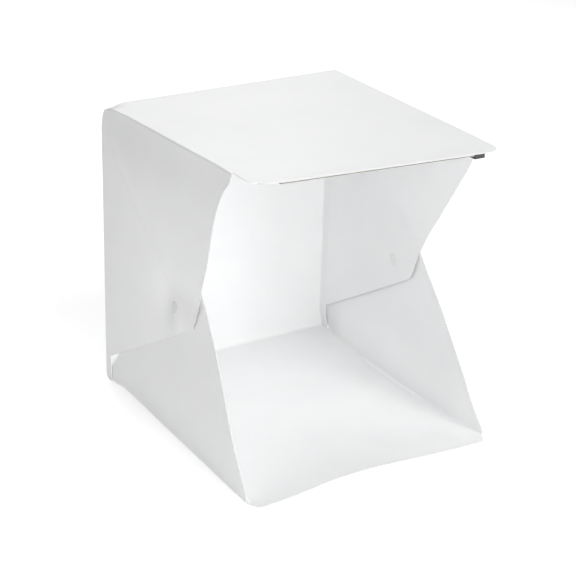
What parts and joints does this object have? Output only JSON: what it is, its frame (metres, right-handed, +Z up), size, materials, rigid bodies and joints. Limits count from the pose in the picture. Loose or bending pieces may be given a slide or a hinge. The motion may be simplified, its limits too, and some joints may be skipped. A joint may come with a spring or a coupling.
{
  "type": "folding light tent",
  "caption": "Folding white plastic photo light tent with open front, magnetic side flaps and gussets, and an LED bar with micro-USB socket under the top's front edge.",
  "frame": {"origin": "middle of the base, on the surface that the tent stands on", "axes": "+Z up, -Y out of the open front, +X to the right as seen from the front"},
  "size_m": [0.2184, 0.246, 0.2465],
  "materials": {
    "white_sheet": "fine matte grain, slightly translucent polypropylene sheet",
    "magnet_steel": "plated magnet disc laminated into the white sheet",
    "foam_tape": "matte foam",
    "board_white": "white solder mask on a glass-fibre board",
    "led_chip": "clear resin over phosphor in a white case",
    "black_plastic": "satin moulded black",
    "shell_steel": "bright plated steel",
    "contact_gold": "gold plated"
  },
  "bodies": {
    "floor": {"floor_panel": "white_sheet", "floor_back_crease": "white_sheet", "left_flap_crease": "white_sheet", "right_flap_crease": "white_sheet"},
    "back": {"back_panel": "white_sheet", "back_top_crease": "white_sheet", "left_gusset_rear_crease": "white_sheet", "right_gusset_rear_crease": "white_sheet"},
    "top": {"top_panel": "white_sheet", "left_gusset_top_crease": "white_sheet", "right_gusset_top_crease": "white_sheet", "led_tape": "foam_tape", "led_board": "board_white", "led_01": "led_chip", "led_02": "led_chip", "led_03": "led_chip", "led_04": "led_chip", "led_05": "led_chip", "led_06": "led_chip", "led_07": "led_chip", "led_08": "led_chip", "led_09": "led_chip", "led_10": "led_chip", "led_11": "led_chip", "led_12": "led_chip", "led_13": "led_chip", "led_14": "led_chip", "led_15": "led_chip", "led_16": "led_chip", "led_17": "led_chip", "led_18": "led_chip", "led_19": "led_chip", "led_20": "led_chip", "socket_housing": "black_plastic", "usb_shell": "shell_steel", "usb_tongue": "black_plastic", "usb_contact_1": "contact_gold", "usb_contact_2": "contact_gold", "usb_contact_3": "contact_gold", "usb_contact_4": "contact_gold", "usb_contact_5": "contact_gold"},
    "left_flap": {"left_flap": "white_sheet", "left_flap_magnet": "magnet_steel"},
    "right_flap": {"right_flap": "white_sheet", "right_flap_magnet": "magnet_steel"},
    "left_gusset_rear": {"left_gusset_rear": "white_sheet", "left_gusset_magnet": "magnet_steel"},
    "left_gusset_top": {"left_gusset_top": "white_sheet"},
    "right_gusset_rear": {"right_gusset_rear": "white_sheet", "right_gusset_magnet": "magnet_steel"},
    "right_gusset_top": {"right_gusset_top": "white_sheet"}
  },
  "joints": [
    {"name": "back_fold", "type": "hinge", "parent": "floor", "child": "back", "pos_m": [0, 0.1142, 0.0032], "axis": [1, 0, 0], "range_deg": [0, 90], "deforming": ["floor_back_crease"]},
    {"name": "top_fold", "type": "hinge", "parent": "back", "child": "top", "pos_m": [0, 0.1183, 0.2387], "axis": [1, 0, 0], "range_deg": [0, 91.1], "deforming": ["back_top_crease"]},
    {"name": "left_flap_fold", "type": "hinge", "parent": "floor", "child": "left_flap", "pos_m": [-0.1071, 0, 0.001], "axis": [0, 1, 0], "range_deg": [-90, 90], "deforming": ["left_flap_crease"]},
    {"name": "right_flap_fold", "type": "hinge", "parent": "floor", "child": "right_flap", "pos_m": [0.10765, 0, 0.00155], "axis": [0, -1, 0], "range_deg": [-90, 90], "deforming": ["right_flap_crease"]},
    {"name": "left_gusset_rear_fold", "type": "hinge", "parent": "back", "child": "left_gusset_rear", "pos_m": [-0.1071, 0.1221, 0.12], "axis": [0, 0, 1], "range_deg": [0, 90], "deforming": ["left_gusset_rear", "left_gusset_magnet", "left_gusset_rear_crease"]},
    {"name": "right_gusset_rear_fold", "type": "hinge", "parent": "back", "child": "right_gusset_rear", "pos_m": [0.10655, 0.12265, 0.12], "axis": [0, 0, -1], "range_deg": [0, 90], "deforming": ["right_gusset_rear", "right_gusset_magnet", "right_gusset_rear_crease"]},
    {"name": "left_gusset_top_fold", "type": "hinge", "parent": "top", "child": "left_gusset_top", "pos_m": [-0.1071, 0, 0.24167], "axis": [0, -0.9998, 0.0192], "range_deg": [0, 90], "deforming": ["left_gusset_top", "left_gusset_top_crease"]},
    {"name": "right_gusset_top_fold", "type": "hinge", "parent": "top", "child": "right_gusset_top", "pos_m": [0.10655, 0, 0.24222], "axis": [0, 0.9998, -0.0192], "range_deg": [0, 90], "deforming": ["right_gusset_top", "right_gusset_top_crease"]}
  ],
  "couplings": [
    {"joint": "left_gusset_rear_fold", "follows": "top_fold", "ratio": 0.98793},
    {"joint": "left_gusset_top_fold", "follows": "top_fold", "ratio": 0.98793},
    {"joint": "right_gusset_rear_fold", "follows": "top_fold", "ratio": 0.98793},
    {"joint": "right_gusset_top_fold", "follows": "top_fold", "ratio": 0.98793}
  ]
}
